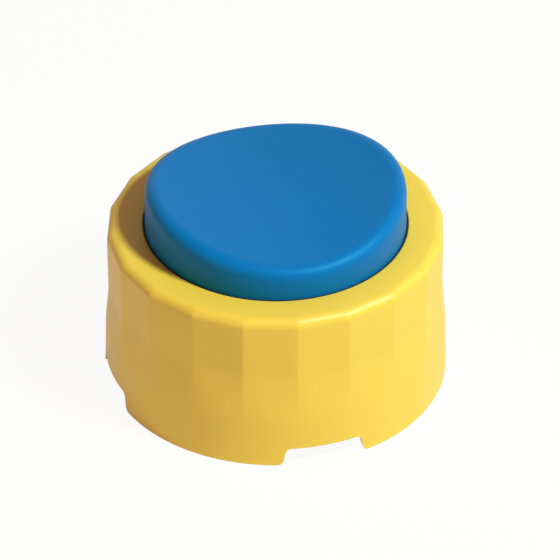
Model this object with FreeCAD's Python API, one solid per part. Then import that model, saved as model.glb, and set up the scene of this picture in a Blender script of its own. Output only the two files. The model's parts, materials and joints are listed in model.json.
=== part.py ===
# Pedestrian push button: a faceted round housing, a dished push cap and the switch gear that it works.
# Millimetres. The origin is the centre of the mounting face, and +Z points out through the cap.
# The cap's trough runs along Y. The notches in the housing's rim are centred on the X and Y axes.
import FreeCAD, Part
import math
import os

# Clearances
seat_gap = 0.05  # round a piece that is fixed in another
running_gap = 0.05  # round a piece that slides or turns in another
hole_gap = 0.25  # round a screw that passes through
rib_gap = 0.4  # between the guide ribs and the cap carrier's slots
rest_gap = 0.2  # between the released cap's stop ring and the collar
press_gap = 0.3  # between the pressed carrier and the bush
lip_gap = 0.3  # between the wiper seal and the cap

# Feet, cover screws, guide ribs and carrier screws, all on the same diagonals
fixing_count = 4

# Housing shell
housing_radius = 50.0
round_band_height = 16.0  # the plain round band above the mounting face
band_draft = 1.8  # degrees
facet_start_height = 30.0  # the facets are upright from here up
facet_count = 20
facet_inset = 2.0  # from the round band's foot to the flat of a facet
facet_edge_rounding = 3.2
top_edge_rounding = 2.8
housing_wall = 2.6
ring_thickness = 3.0
ring_width = 12.0  # from the radius of the round band's foot to the opening
opening_edge_rounding = 0.4
collar_wall = 3.0
collar_depth = 9.0  # below the top face

# Notches in the housing's rim
notch_count = 4
notch_width = 22.0  # at its top
notch_height = 5.7
notch_flare = 11.0  # degrees from upright, each side
notch_rounding = 1.8

# Guide ribs, which stop the cap from turning
rib_width = 3.0
rib_offset = 0.6  # from the collar out to the ribs' edges

# Push cap
travel = 3.0
cap_gap = 0.55
cap_draft = 1.0  # degrees, above the housing's top face
cap_rise = 9.1  # from the housing's top face to the lowest line of the trough
trough_radius = 120.0
cap_top_thickness = 3.0
cap_wall = 2.6
cap_edge_rounding = 3.3
cap_rib_thickness = 1.8
cap_rib_depth = 4.0

# Cap carrier
flange_reach = 2.0  # from the collar out to the flange's edge
carrier_thickness = 3.0
pivot_headroom = 7.5  # from the switch lever's pivot to the carrier
spigot_height = 3.0  # the ring that centres the cap's skirt
spigot_wall = 2.0
hub_radius = 8.5
hub_rise = 4.0
stem_socket_depth = 4.0
carrier_boss_inset = 10.85  # from the cap's inner wall to the screws
carrier_boss_radius = 3.8
carrier_screw_length = 12.0

# Stop ring and wiper seal
stop_ring_inset = 0.7  # from the opening out to the stop ring
stop_ring_width = 1.8
stop_ring_thickness = 1.3
seal_depth = 3.4  # from the top face to the seal
seal_height = 2.6
seal_lip_height = 0.9
seal_width = 1.0  # of its root, in the collar's groove

# Back cover
cover_clearance = 0.8  # above the notches
cover_thickness = 2.5
cover_edge_gap = 0.4
gasket_thickness = 1.5
cover_boss_radius = 3.8
cover_boss_wall_gap = 0.6  # between the bosses and the housing's wall
cover_boss_height = 18.0
cover_screw_length = 14.0
web_width = 2.4
foot_inset = 17.0  # from the cover's edge to the feet's centres
foot_radius = 6.0
insert_radius = 3.5
insert_bore_radius = 2.1
insert_length = 8.0
insert_groove_depth = 0.4
insert_groove_width = 1.6
post_height = 3.0
post_radius = 3.0

# Cable grommet and breather vent
port_inset = 17.0  # from the cover's edge to their centres
inlet_radius = 3.0
grommet_neck_radius = 5.0
grommet_flange_radius = 7.0
grommet_flange_thickness = 1.5
grommet_lip_radius = 6.2
grommet_lip_thickness = 1.2
vent_cap_radius = 4.5
vent_cap_thickness = 1.2
vent_stem_radius = 2.5
vent_stem_rise = 1.0
vent_bore_radius = 1.0

# Stem, bush and tower
stem_radius = 5.0
stem_end_gap = 2.0  # below the pressed stem
stem_chamfer = 0.6
stem_screw_length = 10.0
bush_wall = 2.0
bush_length = 14.0
bush_flange_thickness = 1.0
bush_flange_overlap = 1.2
tower_wall = 2.5
tower_floor = 4.0
tower_bore_gap = 0.6  # round the stem, below the bush

# Return spring
spring_wire = 1.6
spring_turns = 6.5
spring_clearance = 0.8  # outside the tower
spring_pocket_depth = 1.0
spring_pocket_gap = 0.4
washer_thickness = 0.8
washer_overlap = 0.4

# Snap-action switch
switch_x = 20.0
switch_length = 19.8
switch_width = 6.4
switch_height = 10.2
switch_lift = 8.0  # above the back cover
switch_hole_spacing = 9.5
switch_hole_height = 2.9
ear_thickness = 0.9
ear_radius = 1.5
lever_pivot_inset = 2.4
lever_pivot_rise = 1.3
lever_angle = 14.5  # degrees, with the cap released
lever_thickness = 0.4
lever_width = 3.6
lever_overhang = 2.2  # past the striker
lever_eye_radius = 0.95
pin_radius = 0.5
contact_gap = 0.1  # above and below the lever
striker_from_pivot = 14.5
striker_radius = 1.8
plunger_from_pivot = 4.2
plunger_radius = 0.8
plunger_depth = 2.0
plunger_well_depth = 3.5
tab_spacing = 7.0
tab_drop = 3.9
tab_root = 1.2
tab_width = 3.2
tab_thickness = 0.5

# Switch bracket
bracket_thickness = 1.2
bracket_length = 24.0
bracket_foot = 10.0
bracket_rise = 5.5  # above the switch's holes' centres
bracket_bend_radius = 0.8
bracket_screw_spacing = 16.0
bracket_screw_inset = 4.0  # from the foot's free edge
bracket_screw_length = 5.4
nut_width = 4.5  # across flats
nut_thickness = 1.8
nut_thread_proud = 0.6

# Terminal block
block_x = -27.0
block_depth = 12.0
block_pitch = 8.0
block_height = 12.0
lug_length = 6.0
lug_thickness = 3.0
block_screw_length = 7.2
clamp_length = 6.0
clamp_width = 5.2
clamp_height = 7.0
clamp_lift = 2.5
wire_hole_lift = 4.8
wire_hole_radius = 1.4
clamp_head_radius = 2.0
clamp_head_height = 1.2
clamp_shank_radius = 1.25

# Leads from the switch to the terminal block
lead_radius = 0.8
lead_tab_run = 4.6  # straight out from the tab
lead_swing_radius = 20.4  # round the spring
lead_swing_rise = 3.6  # above the back cover
lead_entry_run = 3.0  # straight ahead of the terminal block
lead_past_clamp_screw = 1.0
bend_share = 0.45  # of the shorter run, which a bend takes at each end

# Screws
small_shank_radius = 1.1
small_head_radius = 2.0
small_head_height = 1.4
medium_shank_radius = 1.45
medium_head_radius = 2.7
medium_head_height = 1.8
large_shank_radius = 1.75
large_head_radius = 3.2
large_head_height = 2.2
pilot_spare = 1.0  # hole below a screw's tip
drive_width_share = 0.3  # of the head's radius
drive_length_share = 1.2
drive_depth_share = 0.6  # of the head's height
head_rounding_share = 0.4
tip_chamfer_share = 0.4  # of the shank's radius

# Radii
band_top_radius = housing_radius - round_band_height * math.tan(math.radians(band_draft))
facet_apothem = housing_radius - facet_inset
facet_corner_radius = facet_apothem / math.cos(math.pi / facet_count)
cavity_radius = facet_apothem - housing_wall
rim_radius = housing_radius - housing_wall
opening_radius = housing_radius - ring_width
collar_radius = opening_radius + collar_wall
rib_inner_radius = collar_radius + rib_offset
flange_radius = collar_radius + flange_reach
stop_ring_inner_radius = opening_radius + stop_ring_inset
cap_radius = opening_radius - cap_gap
cap_cavity_radius = cap_radius - cap_wall
carrier_screw_circle = cap_cavity_radius - carrier_boss_inset
cover_radius = rim_radius - cover_edge_gap
cover_screw_circle = cavity_radius - cover_boss_wall_gap - cover_boss_radius
foot_circle = cover_radius - foot_inset
inlet_y = port_inset - cover_radius
vent_y = cover_radius - port_inset
bush_radius = stem_radius + running_gap + bush_wall
tower_radius = bush_radius + seat_gap + tower_wall
spring_inner_radius = tower_radius + spring_clearance
spring_outer_radius = spring_inner_radius + spring_wire

# Heights above the mounting face, from the back cover up to the cap
cover_bottom = notch_height + cover_clearance
cover_top = cover_bottom + cover_thickness
ledge_height = cover_top + gasket_thickness
cover_boss_top = cover_top + cover_boss_height
post_top = cover_top + post_height
wire_z = post_top + wire_hole_lift
switch_bottom = cover_top + switch_lift
switch_top = switch_bottom + switch_height
switch_hole_z = switch_bottom + switch_hole_height
pivot_z = switch_top + lever_pivot_rise
carrier_bottom = pivot_z + pivot_headroom
carrier_top = carrier_bottom + carrier_thickness
collar_bottom = carrier_top + stop_ring_thickness + rest_gap
housing_height = collar_bottom + collar_depth
ring_underside = housing_height - ring_thickness
hub_top = carrier_top + hub_rise
bush_top = carrier_bottom - travel - press_gap
tower_top = bush_top - bush_flange_thickness
bush_seat = tower_top - bush_length
tower_bore_floor = cover_bottom + tower_floor
stem_bottom = tower_bore_floor + stem_end_gap + travel
stem_top = carrier_bottom + stem_socket_depth
spring_bottom = cover_top + washer_thickness
spring_top = carrier_bottom + spring_pocket_depth
trough_bottom = housing_height + cap_rise
trough_axis_height = trough_bottom + trough_radius
seal_top = housing_height - seal_depth

# The switch's lever, plunger and striker
pivot_y = lever_pivot_inset - switch_length / 2
striker_y = pivot_y + striker_from_pivot
plunger_y = pivot_y + plunger_from_pivot
lever_slope = math.radians(lever_angle)
striker_centre_z = (
    pivot_z
    + striker_from_pivot * math.tan(lever_slope)
    + (lever_thickness / 2 + contact_gap + striker_radius) / math.cos(lever_slope)
)
plunger_top = (
    pivot_z
    + (plunger_from_pivot - plunger_radius) * math.tan(lever_slope)
    - (lever_thickness / 2 + contact_gap) / math.cos(lever_slope)
)

# Sides of the switch and its bracket, along X
switch_inner_x = switch_x - switch_width / 2
switch_outer_x = switch_x + switch_width / 2
bracket_outer_x = switch_outer_x + bracket_thickness
foot_end_x = switch_outer_x + bracket_foot
bracket_screw_x = foot_end_x - bracket_screw_inset
block_inner_x = block_x + block_depth / 2

# Screws: the radius of the shank, then the radius and height of the head
small_screw = (small_shank_radius, small_head_radius, small_head_height)
medium_screw = (medium_shank_radius, medium_head_radius, medium_head_height)
large_screw = (large_shank_radius, large_head_radius, large_head_height)

DIAGONALS = [360.0 * (index + 0.5) / fixing_count for index in range(fixing_count)]
LEAD_ANGLES = (52, 78, 104, 130)  # degrees round the spring, where a lead's bends lie
ENDS = (-1, 1)
SPARE = 1.0  # how far a cutting shape runs past what it cuts
UP = FreeCAD.Vector(0, 0, 1)
DOWN = FreeCAD.Vector(0, 0, -1)
ALONG_X = FreeCAD.Vector(1, 0, 0)


def point(x, y, z):
    return FreeCAD.Vector(x, y, z)


def polar(radius, degrees, z=0.0):
    angle = math.radians(degrees)
    return point(radius * math.cos(angle), radius * math.sin(angle), z)


def rod(radius, start, end):
    """A round bar from one point to another."""
    axis = end - start
    return Part.makeCylinder(radius, axis.Length, start, axis)


def disc(radius, low, high, x=0.0, y=0.0):
    return rod(radius, point(x, y, low), point(x, y, high))


def tube(outer, inner, low, high, x=0.0, y=0.0):
    bore = disc(inner, low - SPARE, high + SPARE, x, y)
    return disc(outer, low, high, x, y).cut(bore)


def block(x_span, y_span, z_span):
    corner = point(x_span[0], y_span[0], z_span[0])
    return Part.makeBox(x_span[1] - x_span[0], y_span[1] - y_span[0], z_span[1] - z_span[0], corner)


def about(middle, width):
    """The span of a width that is centred on a place."""
    return (middle - width / 2, middle + width / 2)


def turned(shape, degrees):
    """A copy turned about the Z axis."""
    copy = shape.copy()
    copy.rotate(point(0, 0, 0), UP, degrees)
    return copy


def joined(first, *others):
    return first.fuse(list(others)).removeSplitter()


def save(name, *solids):
    """Writes one node, which is a single piece or a group of like pieces."""
    shape = solids[0] if len(solids) == 1 else Part.makeCompound(list(solids))
    shape.exportStep("parts/" + name + ".step")


def corner_arc(before, corner, after, radius):
    """The start, middle and end of the arc that rounds a corner between two straight runs."""
    back = (before - corner).normalize()
    onward = (after - corner).normalize()
    half_angle = back.getAngle(onward) / 2
    reach = radius / math.tan(half_angle)
    inward = (back + onward).normalize()
    centre = corner + inward * (radius / math.sin(half_angle))
    return corner + back * reach, centre - inward * radius, corner + onward * reach


def rounded_path(points, radii):
    """Straight runs through the points, with the inner corners rounded. A radius of None leaves one sharp."""
    edges = []
    place = points[0]
    for index, radius in enumerate(radii, start=1):
        corner = points[index]
        if radius is None:
            edges.append(Part.LineSegment(place, corner).toShape())
            place = corner
            continue
        start, middle, end = corner_arc(points[index - 1], corner, points[index + 1], radius)
        edges.append(Part.LineSegment(place, start).toShape())
        edges.append(Part.Arc(start, middle, end).toShape())
        place = end
    edges.append(Part.LineSegment(place, points[-1]).toShape())
    return Part.Wire(edges)


def screw(sizes, length, seat, direction):
    """A pan-head screw with a cross recess. The head's underside is at seat."""
    shank_radius, head_radius, head_height = sizes
    head = disc(head_radius, -head_height, 0.0)
    rim = [edge for edge in head.Edges if edge.BoundBox.ZMax < -head_height / 2]
    head = head.makeFillet(head_height * head_rounding_share, rim)
    shank = disc(shank_radius, 0.0, length)
    tip = [edge for edge in shank.Edges if edge.BoundBox.ZMin > length / 2]
    shank = shank.makeChamfer(shank_radius * tip_chamfer_share, tip)
    recess_depth = (-head_height - SPARE, head_height * (drive_depth_share - 1))
    narrow = about(0.0, head_radius * drive_width_share)
    wide = about(0.0, head_radius * drive_length_share)
    recess = joined(block(narrow, wide, recess_depth), block(wide, narrow, recess_depth))
    solid = joined(head, shank).cut(recess)
    solid.Placement = FreeCAD.Placement(seat, FreeCAD.Rotation(UP, direction))
    return solid


def pass_hole(sizes, seat, direction, length):
    """The hole that a screw passes through."""
    return rod(sizes[0] + hole_gap, seat - direction * SPARE, seat + direction * (length + SPARE))


def pilot_hole(sizes, seat, direction, length):
    """The hole that a screw is driven into, with room below its tip."""
    return rod(sizes[0] + seat_gap, seat, seat + direction * (length + pilot_spare))


def facet_outline(z):
    """The housing's faceted outline, with its corners rounded."""
    step = 360.0 / facet_count
    corners = [polar(facet_corner_radius, (index + 0.5) * step, z) for index in range(facet_count)]
    seam = polar(facet_apothem, 0.0, z)
    return rounded_path([seam] + corners + [seam], [facet_edge_rounding] * facet_count)


def round_outline(radius, z):
    """A round outline, cut into arcs that lie below the sides and corners of the facets."""
    arcs = []
    for edge in facet_outline(z).OrderedEdges:
        start = edge.valueAt(edge.FirstParameter)
        middle = edge.valueAt((edge.FirstParameter + edge.LastParameter) / 2)
        end = edge.valueAt(edge.LastParameter)
        angles = [math.degrees(math.atan2(place.y, place.x)) for place in (start, middle, end)]
        arcs.append(Part.Arc(*[polar(radius, angle, z) for angle in angles]).toShape())
    return Part.Wire(arcs)


def housing_form():
    """The housing's outside: a round band, facets that grow out of it, and upright facets above."""
    foot = round_outline(housing_radius, 0.0)
    band_top = round_outline(band_top_radius, round_band_height)
    flare = Part.makeLoft([foot, band_top, facet_outline(facet_start_height)], True, True)
    upright = housing_height - facet_start_height
    prism = Part.Face(facet_outline(facet_start_height)).extrude(point(0, 0, upright))
    rim = [edge for edge in prism.Edges if edge.BoundBox.ZMin > housing_height - SPARE]
    prism = prism.makeFillet(top_edge_rounding, rim)
    return joined(flare, prism)


def notch_cutter():
    """The notch on the +X side of the rim, with its corners rounded and its lower corners flared."""
    lean = math.tan(math.radians(notch_flare))
    top_half = notch_width / 2
    foot_half = top_half + notch_height * lean
    half_points = [(foot_half + notch_height, -SPARE), (foot_half + notch_height, 0.0)]
    half_points += [(foot_half, 0.0), (top_half, notch_height)]
    inside = cavity_radius - SPARE
    right = [point(inside, y, z) for y, z in half_points]
    left = [point(inside, -y, z) for y, z in reversed(half_points)]
    radii = [None, notch_rounding, notch_rounding, notch_rounding, notch_rounding, None, None]
    outline = rounded_path(right + left + [right[0]], radii)
    return Part.Face(outline).extrude(point(housing_radius - inside + SPARE, 0, 0))


def housing_inner_features():
    """What stands inside the housing's cavity: the collar, the cover's bosses and the guide ribs."""
    collar = tube(collar_radius, opening_radius, collar_bottom, ring_underside + SPARE)
    boss = disc(cover_boss_radius, cover_top, cover_boss_top, cover_screw_circle)
    web = block((cover_screw_circle, housing_radius), about(0.0, web_width), (ledge_height, cover_boss_top))
    rib = block((rib_inner_radius, housing_radius), about(0.0, rib_width), (cover_boss_top, housing_height))
    tie_reach = (opening_radius + SPARE, housing_radius)
    tie = block(tie_reach, about(0.0, rib_width), (collar_bottom, housing_height))
    pillar = joined(boss, web, rib, tie)
    return joined(collar, *[turned(pillar, angle) for angle in DIAGONALS])


def housing_shell():
    cavity = joined(
        disc(rim_radius, -SPARE, ledge_height),
        disc(cavity_radius, ledge_height - SPARE, ring_underside),
    )
    shell = housing_form().cut(cavity.cut(housing_inner_features()))
    shell = shell.cut(disc(opening_radius, collar_bottom - SPARE, housing_height + SPARE))
    edge = [e for e in shell.Edges if is_circle_at(e, opening_radius, housing_height)]
    shell = shell.makeFillet(opening_edge_rounding, edge)
    groove_radius = opening_radius + seal_width
    shell = shell.cut(tube(groove_radius, opening_radius - SPARE, seal_top - seal_height, seal_top))
    for angle in DIAGONALS:
        seat = polar(cover_screw_circle, angle, cover_top)
        shell = shell.cut(pilot_hole(large_screw, seat, UP, cover_screw_length - cover_thickness))
    for index in range(notch_count):
        shell = shell.cut(turned(notch_cutter(), index * 360.0 / notch_count))
    return shell


def is_circle_at(edge, radius, z):
    """Whether an edge is part of a level circle of a radius at a height."""
    if edge.Curve.TypeId != "Part::GeomCircle":
        return False
    box = edge.BoundBox
    level = abs(box.ZMin - z) < seat_gap and abs(box.ZMax - z) < seat_gap
    return level and abs(edge.Curve.Radius - radius) < seat_gap


def back_cover():
    cover = disc(cover_radius, cover_bottom, cover_top)
    tower = disc(tower_radius, cover_bottom, tower_top)
    feet = [disc(foot_radius, 0.0, cover_top, at.x, at.y) for at in foot_centres()]
    posts = [disc(post_radius, cover_bottom, post_top, at.x, at.y) for at in post_centres()]
    cover = joined(cover, tower, *feet, *posts)
    cover = cover.cut(disc(bush_radius + seat_gap, bush_seat, tower_top + SPARE))
    cover = cover.cut(disc(stem_radius + tower_bore_gap, tower_bore_floor, bush_seat + SPARE))
    for at in foot_centres():
        cover = cover.cut(disc(insert_radius + seat_gap, -SPARE, insert_length, at.x, at.y))
    for angle in DIAGONALS:
        seat = polar(cover_screw_circle, angle, cover_bottom)
        cover = cover.cut(pass_hole(large_screw, seat, UP, cover_thickness))
    for at in bracket_screw_centres():
        depth = bracket_screw_length - bracket_thickness
        cover = cover.cut(pilot_hole(small_screw, point(at.x, at.y, post_top), DOWN, depth))
    for at in block_screw_centres():
        depth = block_screw_length - lug_thickness
        cover = cover.cut(pilot_hole(small_screw, point(at.x, at.y, post_top), DOWN, depth))
    inlet = disc(grommet_neck_radius + seat_gap, cover_bottom - SPARE, cover_top + SPARE, 0.0, inlet_y)
    vent = disc(vent_stem_radius + seat_gap, cover_bottom - SPARE, cover_top + SPARE, 0.0, vent_y)
    return cover.cut([inlet, vent])


def foot_centres():
    return [polar(foot_circle, angle) for angle in DIAGONALS]


def bracket_screw_centres():
    return [point(bracket_screw_x, end * bracket_screw_spacing / 2, 0) for end in ENDS]


def block_screw_centres():
    return [point(block_x, end * (block_pitch + lug_length / 2), 0) for end in ENDS]


def post_centres():
    return bracket_screw_centres() + block_screw_centres()


def cover_gasket():
    return tube(cover_radius, cavity_radius, cover_top, ledge_height)


def cover_screws():
    seats = [polar(cover_screw_circle, angle, cover_bottom) for angle in DIAGONALS]
    return [screw(large_screw, cover_screw_length, seat, UP) for seat in seats]


def mounting_inserts():
    """Threaded brass inserts, each with a groove that locks it in its foot."""
    inserts = []
    for at in foot_centres():
        insert = tube(insert_radius, insert_bore_radius, 0.0, insert_length, at.x, at.y)
        low, high = about(insert_length / 2, insert_groove_width)
        groove = tube(insert_radius + SPARE, insert_radius - insert_groove_depth, low, high, at.x, at.y)
        inserts.append(insert.cut(groove))
    return inserts


def cable_grommet():
    flange_bottom = cover_bottom - grommet_flange_thickness
    flange = disc(grommet_flange_radius, flange_bottom, cover_bottom, 0.0, inlet_y)
    neck = disc(grommet_neck_radius, cover_bottom, cover_top, 0.0, inlet_y)
    lip = disc(grommet_lip_radius, cover_top, cover_top + grommet_lip_thickness, 0.0, inlet_y)
    bore = disc(inlet_radius, flange_bottom - SPARE, cover_top + 2 * SPARE, 0.0, inlet_y)
    return joined(flange, neck, lip).cut(bore)


def breather_vent():
    cap_bottom = cover_bottom - vent_cap_thickness
    stem_end = cover_top + vent_stem_rise
    cap = disc(vent_cap_radius, cap_bottom, cover_bottom, 0.0, vent_y)
    neck = disc(vent_stem_radius, cover_bottom, stem_end, 0.0, vent_y)
    bore = disc(vent_bore_radius, cover_bottom, stem_end + SPARE, 0.0, vent_y)
    return joined(cap, neck).cut(bore)


def trough(radius):
    """The round bar that hollows the cap's top, at a radius from the trough's axis."""
    reach = housing_radius
    return rod(radius, point(0, -reach, trough_axis_height), point(0, reach, trough_axis_height))


def cap_form():
    """The cap's outside: an upright skirt, a drafted wall above the ring, and the rounded trough."""
    crest = trough_radius - math.sqrt(trough_radius**2 - cap_radius**2)
    rise = cap_rise + crest + SPARE
    narrowing = rise * math.tan(math.radians(cap_draft))
    skirt = disc(cap_radius, carrier_top, housing_height)
    wall = Part.makeCone(cap_radius, cap_radius - narrowing, rise, point(0, 0, housing_height))
    form = joined(skirt, wall).cut(trough(trough_radius))
    rim = [edge for edge in form.Edges if edge.BoundBox.ZMin > trough_bottom - SPARE]
    return form.makeFillet(cap_edge_rounding, rim)


def push_cap():
    top = trough_axis_height - trough_radius / 2
    inner_trough = trough(trough_radius + cap_top_thickness)
    cavity = disc(cap_cavity_radius, carrier_top - SPARE, top).cut(inner_trough)
    boss = disc(carrier_boss_radius, carrier_top, top, carrier_screw_circle)
    rib_bottom = trough_bottom - cap_top_thickness - cap_rib_depth
    rib = block((0.0, cap_radius), about(0.0, cap_rib_thickness), (rib_bottom, top))
    spoke = joined(boss, rib)
    spokes = joined(*[turned(spoke, angle) for angle in DIAGONALS])
    cap = cap_form().cut(cavity.cut(spokes))
    for angle in DIAGONALS:
        seat = polar(carrier_screw_circle, angle, carrier_top)
        cap = cap.cut(pilot_hole(medium_screw, seat, UP, carrier_screw_length - carrier_thickness))
    return cap


def cap_carrier():
    """The plate under the cap, with its hub for the stem, its spigot, its slots and the switch's striker."""
    plate = disc(flange_radius, carrier_bottom, carrier_top)
    hub = disc(hub_radius, carrier_bottom, hub_top)
    spigot_radius = cap_cavity_radius - seat_gap
    spigot = tube(spigot_radius, spigot_radius - spigot_wall, carrier_bottom, carrier_top + spigot_height)
    post = disc(striker_radius, striker_centre_z, carrier_bottom + SPARE, switch_x, striker_y)
    tip = Part.makeSphere(striker_radius, point(switch_x, striker_y, striker_centre_z))
    carrier = joined(plate, hub, spigot, post, tip)
    pocket_outer = spring_outer_radius + spring_pocket_gap
    pocket_inner = spring_inner_radius - spring_pocket_gap
    carrier = carrier.cut(tube(pocket_outer, pocket_inner, carrier_bottom, spring_top))
    carrier = carrier.cut(disc(stem_radius + seat_gap, carrier_bottom - SPARE, stem_top))
    carrier = carrier.cut(pass_hole(medium_screw, point(0, 0, stem_top), UP, hub_top - stem_top))
    slot_radius = rib_inner_radius - rib_gap
    slot_sides = about(0.0, rib_width + 2 * rib_gap)
    slot_heights = (carrier_bottom - SPARE, carrier_top + SPARE)
    slot = block((slot_radius, flange_radius + SPARE), slot_sides, slot_heights)
    for angle in DIAGONALS:
        seat = polar(carrier_screw_circle, angle, carrier_bottom)
        carrier = carrier.cut(pass_hole(medium_screw, seat, UP, carrier_thickness))
        carrier = carrier.cut(turned(slot, angle))
    return carrier


def carrier_screws():
    seats = [polar(carrier_screw_circle, angle, carrier_bottom) for angle in DIAGONALS]
    return [screw(medium_screw, carrier_screw_length, seat, UP) for seat in seats]


def stop_ring():
    outer = stop_ring_inner_radius + stop_ring_width
    return tube(outer, stop_ring_inner_radius, carrier_top, carrier_top + stop_ring_thickness)


def wiper_seal():
    """A ring rooted in the collar's groove, with a lip that reaches in to the cap."""
    root_radius = opening_radius + seal_width - seat_gap
    root = tube(root_radius, opening_radius, seal_top - seal_height, seal_top)
    lip = tube(root_radius, cap_radius + lip_gap, seal_top - seal_lip_height, seal_top)
    return joined(root, lip)


def stem():
    bar = disc(stem_radius, stem_bottom, stem_top)
    ends = [edge for edge in bar.Edges if edge.BoundBox.ZLength < seat_gap]
    bar = bar.makeChamfer(stem_chamfer, ends)
    depth = stem_screw_length - (hub_top - stem_top)
    return bar.cut(pilot_hole(medium_screw, point(0, 0, stem_top), DOWN, depth))


def stem_screw():
    return screw(medium_screw, stem_screw_length, point(0, 0, hub_top), DOWN)


def stem_bush():
    bore = stem_radius + running_gap
    sleeve = tube(bush_radius, bore, bush_seat, bush_top)
    flange = tube(bush_radius + bush_flange_overlap, bore, tower_top, bush_top)
    return joined(sleeve, flange)


def return_spring():
    """A coil spring round the tower, its ends ground flat."""
    coil_radius = (spring_inner_radius + spring_outer_radius) / 2
    height = spring_top - spring_bottom
    helix = Part.makeHelix(height / spring_turns, height, coil_radius)
    section = Part.Wire(Part.makeCircle(spring_wire / 2, point(coil_radius, 0, 0), point(0, 1, 0)))
    coil = Part.Wire(helix.Edges).makePipeShell([section], True, True)
    coil.translate(point(0, 0, spring_bottom))
    envelope = disc(spring_outer_radius + SPARE, spring_bottom, spring_top)
    return coil.common(envelope)


def spring_washer():
    inner = tower_radius + seat_gap
    return tube(spring_outer_radius + washer_overlap, inner, cover_top, spring_bottom)


def switch_hole_centres():
    return [point(switch_x, end * switch_hole_spacing / 2, switch_hole_z) for end in ENDS]


def lever_pin():
    half_width = switch_width / 2
    start = point(switch_x - half_width, pivot_y, pivot_z)
    return rod(pin_radius, start, start + ALONG_X * switch_width)


def switch_case():
    sides = (switch_inner_x, switch_outer_x)
    case = block(sides, about(0.0, switch_length), (switch_bottom, switch_top))
    for start in (switch_inner_x, switch_outer_x - ear_thickness):
        eye = point(start, pivot_y, pivot_z)
        ear = rod(ear_radius, eye, eye + ALONG_X * ear_thickness)
        foot = block(
            (start, start + ear_thickness),
            about(pivot_y, 2 * ear_radius),
            (switch_top - SPARE, pivot_z),
        )
        case = joined(case, ear, foot)
    pin_start = point(switch_inner_x - SPARE, pivot_y, pivot_z)
    case = case.cut(rod(pin_radius + seat_gap, pin_start, pin_start + ALONG_X * (switch_width + 2 * SPARE)))
    well_floor = switch_top - plunger_well_depth
    case = case.cut(disc(plunger_radius + running_gap, well_floor, switch_top + SPARE, switch_x, plunger_y))
    for at in switch_hole_centres():
        seat = point(switch_inner_x, at.y, at.z)
        case = case.cut(pass_hole(small_screw, seat, ALONG_X, switch_width))
    for tab_y in tab_places():
        socket = block(
            about(switch_x, tab_thickness + 2 * seat_gap),
            about(tab_y, tab_width + 2 * seat_gap),
            (switch_bottom - SPARE, switch_bottom + tab_root),
        )
        case = case.cut(socket)
    return case


def tab_places():
    return (-tab_spacing, 0.0, tab_spacing)


def switch_terminals():
    """Three tabs: common, normally closed and normally open."""
    heights = (switch_bottom - tab_drop, switch_bottom + tab_root)
    sides = about(switch_x, tab_thickness)
    return [block(sides, about(tab_y, tab_width), heights) for tab_y in tab_places()]


def switch_plunger():
    shank = disc(plunger_radius, switch_top - plunger_depth, plunger_top, switch_x, plunger_y)
    rim = [edge for edge in shank.Edges if edge.BoundBox.ZMin > plunger_top - seat_gap]
    return shank.makeFillet(plunger_radius / 2, rim)


def switch_lever():
    """A spring-steel strip with a rolled eye, hinged on the pin."""
    half_width = lever_width / 2
    length = striker_from_pivot / math.cos(lever_slope) + lever_overhang
    strip = block(about(0.0, lever_width), (0.0, length), about(0.0, lever_thickness))
    eye = rod(lever_eye_radius, point(-half_width, 0, 0), point(half_width, 0, 0))
    bore = rod(pin_radius + running_gap, point(-lever_width, 0, 0), point(lever_width, 0, 0))
    lever = joined(strip, eye).cut(bore)
    lever.rotate(point(0, 0, 0), ALONG_X, lever_angle)
    lever.translate(point(switch_x, pivot_y, pivot_z))
    return lever


def switch_screws():
    length = switch_width + bracket_thickness + nut_thickness + nut_thread_proud
    seats = [point(switch_inner_x, at.y, at.z) for at in switch_hole_centres()]
    return [screw(small_screw, length, seat, ALONG_X) for seat in seats]


def switch_nuts():
    nuts = []
    corner_radius = nut_width / 2 / math.cos(math.pi / 6)
    for at in switch_hole_centres():
        corners = [polar(corner_radius, index * 60.0) for index in range(7)]
        nut = Part.Face(Part.makePolygon(corners)).extrude(point(0, 0, nut_thickness))
        nut = nut.cut(disc(small_shank_radius + seat_gap, -SPARE, nut_thickness + SPARE))
        place = point(bracket_outer_x, at.y, at.z)
        nut.Placement = FreeCAD.Placement(place, FreeCAD.Rotation(UP, ALONG_X))
        nuts.append(nut)
    return nuts


def switch_bracket():
    """A bent steel angle: the switch is bolted to its upright and its foot is screwed to the posts."""
    length = about(0.0, bracket_length)
    upright = block((switch_outer_x, bracket_outer_x), length, (post_top, switch_hole_z + bracket_rise))
    foot = block((switch_outer_x, foot_end_x), length, (post_top, post_top + bracket_thickness))
    bracket = joined(upright, foot)
    inner = point(bracket_outer_x, 0.0, post_top + bracket_thickness)
    bracket = bracket.makeFillet(bracket_bend_radius, bend_edges(bracket, inner))
    outer = point(switch_outer_x, 0.0, post_top)
    bracket = bracket.makeFillet(bracket_bend_radius + bracket_thickness, bend_edges(bracket, outer))
    for at in switch_hole_centres():
        seat = point(switch_outer_x, at.y, at.z)
        bracket = bracket.cut(pass_hole(small_screw, seat, ALONG_X, bracket_thickness))
    for at in bracket_screw_centres():
        seat = point(at.x, at.y, post_top)
        bracket = bracket.cut(pass_hole(small_screw, seat, UP, bracket_thickness))
    return bracket


def bend_edges(shape, near):
    """The edges that run along Y through a place in the XZ plane."""
    found = []
    for edge in shape.Edges:
        box = edge.BoundBox
        straight = box.XLength < seat_gap and box.ZLength < seat_gap
        if straight and abs(box.XMin - near.x) < seat_gap and abs(box.ZMin - near.z) < seat_gap:
            found.append(edge)
    return found


def bracket_screws():
    seat_z = post_top + bracket_thickness
    seats = [point(at.x, at.y, seat_z) for at in bracket_screw_centres()]
    return [screw(small_screw, bracket_screw_length, seat, DOWN) for seat in seats]


def clamp_places():
    return (-block_pitch / 2, block_pitch / 2)


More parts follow.
